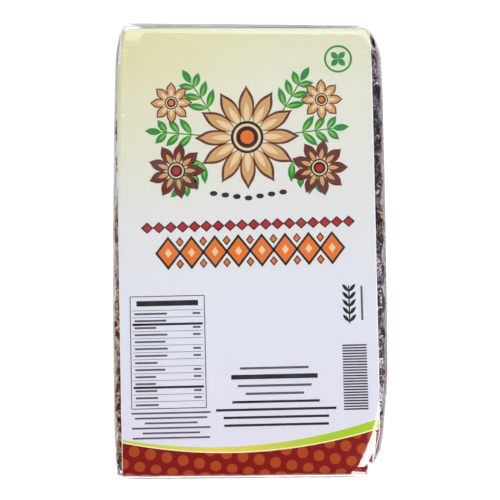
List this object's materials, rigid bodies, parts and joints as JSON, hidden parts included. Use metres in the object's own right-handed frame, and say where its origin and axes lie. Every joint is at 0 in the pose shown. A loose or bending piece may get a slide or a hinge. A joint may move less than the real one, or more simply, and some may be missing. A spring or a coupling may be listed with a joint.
{
  "type": "wrapped tamarind block",
  "caption": "Flat brick of pressed tamarind pulp with a printed paper card on its face, wrapped in a clear film bag with folded ends.",
  "frame": {"origin": "middle of the pack's footprint, on the surface that it lies on", "axes": "+Z out of the card's face, +Y along the pack towards the head of the card, +X to the right of the print"},
  "size_m": [0.1096, 0.1828, 0.0235],
  "materials": {
    "tamarind_pulp": "sticky dark fruit pulp",
    "printed_paper": "coated paper, semi-matt print",
    "clear_film": "clear glossy plastic film"
  },
  "bodies": {
    "root": {"tamarind_block": "tamarind_pulp", "label_card": "printed_paper", "film_wrap": "clear_film"}
  },
  "joints": []
}
